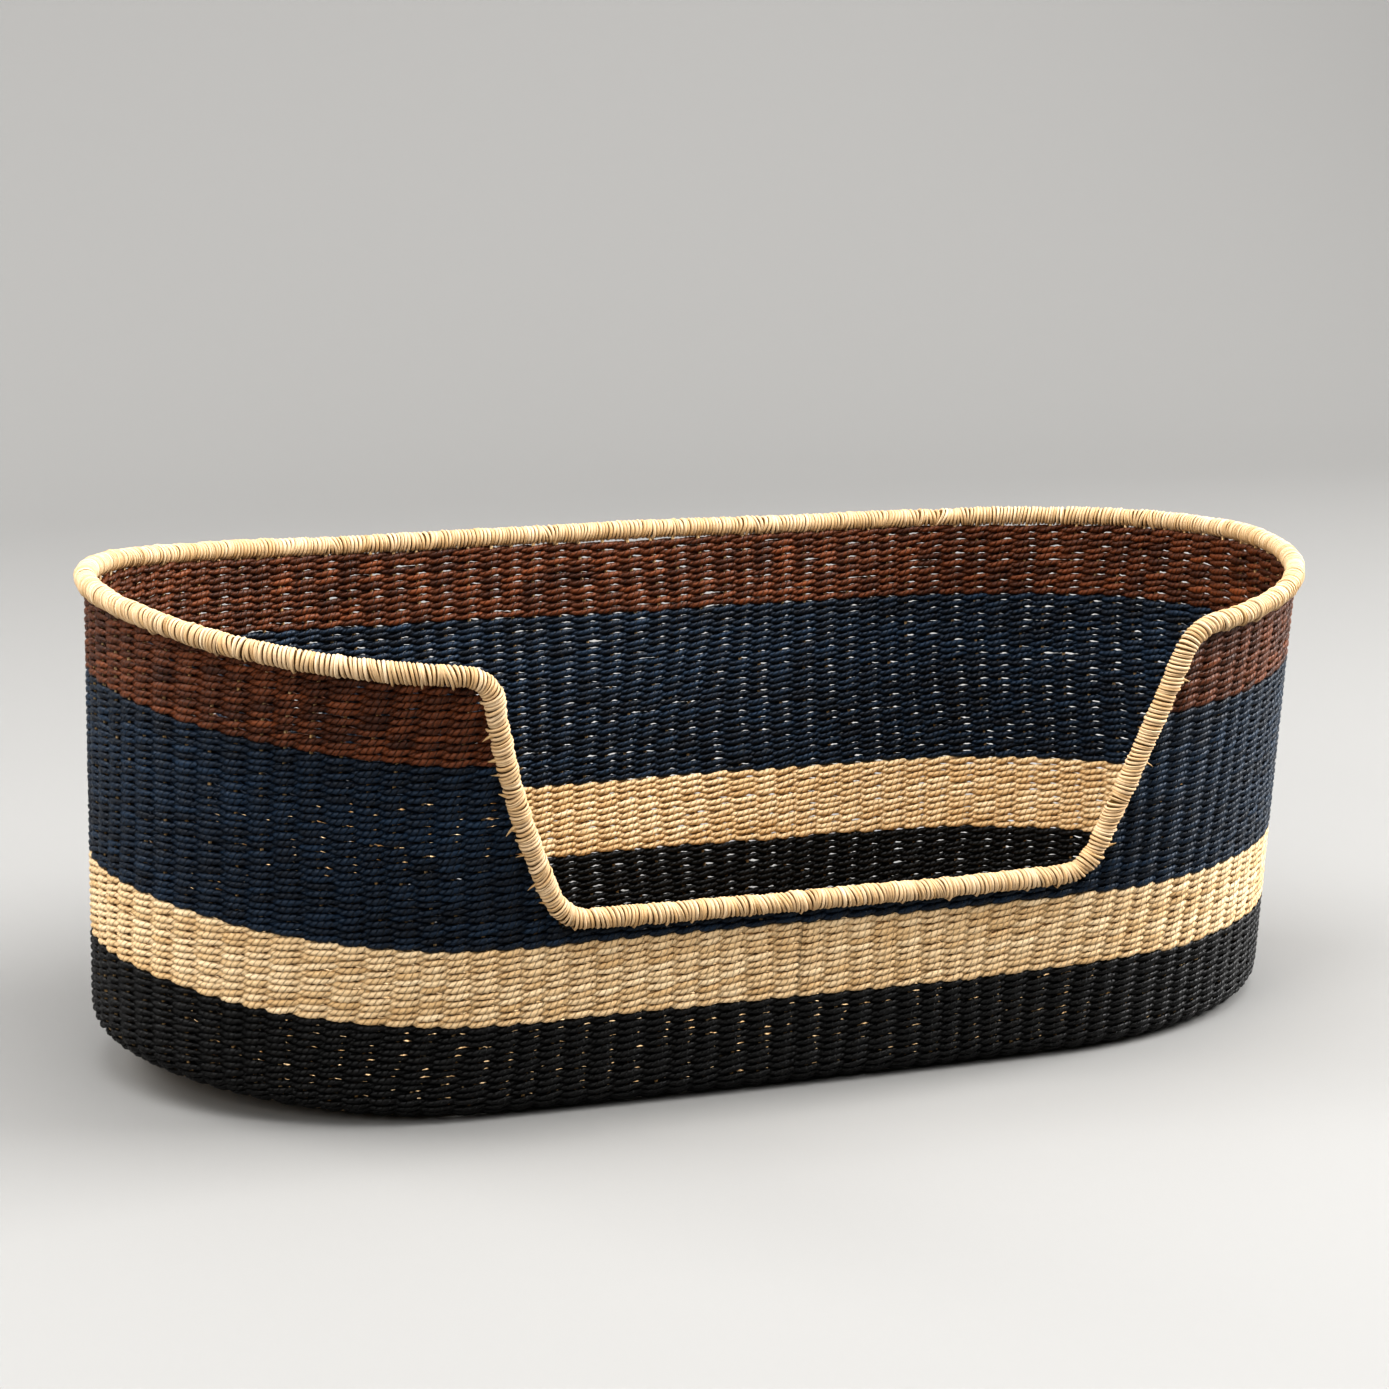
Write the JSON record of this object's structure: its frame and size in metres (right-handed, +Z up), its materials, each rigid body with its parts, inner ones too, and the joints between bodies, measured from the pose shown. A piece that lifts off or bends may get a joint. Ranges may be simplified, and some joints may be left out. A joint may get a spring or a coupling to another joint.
{
  "type": "wicker pet bed basket",
  "caption": "Long oval pet bed of twined grass in black, natural, navy and brown bands, with a lashed rim and a lowered entrance in the front wall.",
  "frame": {"origin": "on the resting plane, under the middle of the base", "axes": "+Z up, -Y is the front with the lowered entrance, +X along the length to the right seen from the front"},
  "size_m": [0.9141, 0.4332, 0.353],
  "materials": {
    "natural_grass": "undyed twisted elephant grass, satin",
    "black_grass": "black dyed twisted elephant grass, satin",
    "navy_grass": "navy dyed twisted elephant grass, satin",
    "brown_grass": "brown dyed twisted elephant grass, satin",
    "stake_grass": "undyed grass stakes, dry",
    "rim_grass": "undyed split grass wound tight, satin"
  },
  "bodies": {
    "root": {"base_weave": "natural_grass", "base_stakes": "stake_grass", "black_band_outer": "black_grass", "black_band_inner": "black_grass", "natural_band_outer": "natural_grass", "natural_band_inner": "natural_grass", "navy_band_lower_outer": "navy_grass", "navy_band_lower_inner": "navy_grass", "navy_band_upper_outer": "navy_grass", "navy_band_upper_inner": "navy_grass", "brown_band_outer": "brown_grass", "brown_band_inner": "brown_grass", "stakes_back": "stake_grass", "stakes_left_end": "stake_grass", "stakes_right_end": "stake_grass", "stakes_front_left": "stake_grass", "stakes_front_right": "stake_grass", "stakes_sill": "stake_grass", "rim_core": "rim_grass", "rim_lashing_back_left": "rim_grass", "rim_lashing_back_right": "rim_grass", "rim_lashing_left_end": "rim_grass", "rim_lashing_right_end": "rim_grass", "rim_lashing_front_left": "rim_grass", "rim_lashing_front_right": "rim_grass", "rim_lashing_left_slope": "rim_grass", "rim_lashing_right_slope": "rim_grass", "rim_lashing_sill": "rim_grass", "stake_ends_left": "stake_grass", "stake_ends_right": "stake_grass"}
  },
  "joints": []
}
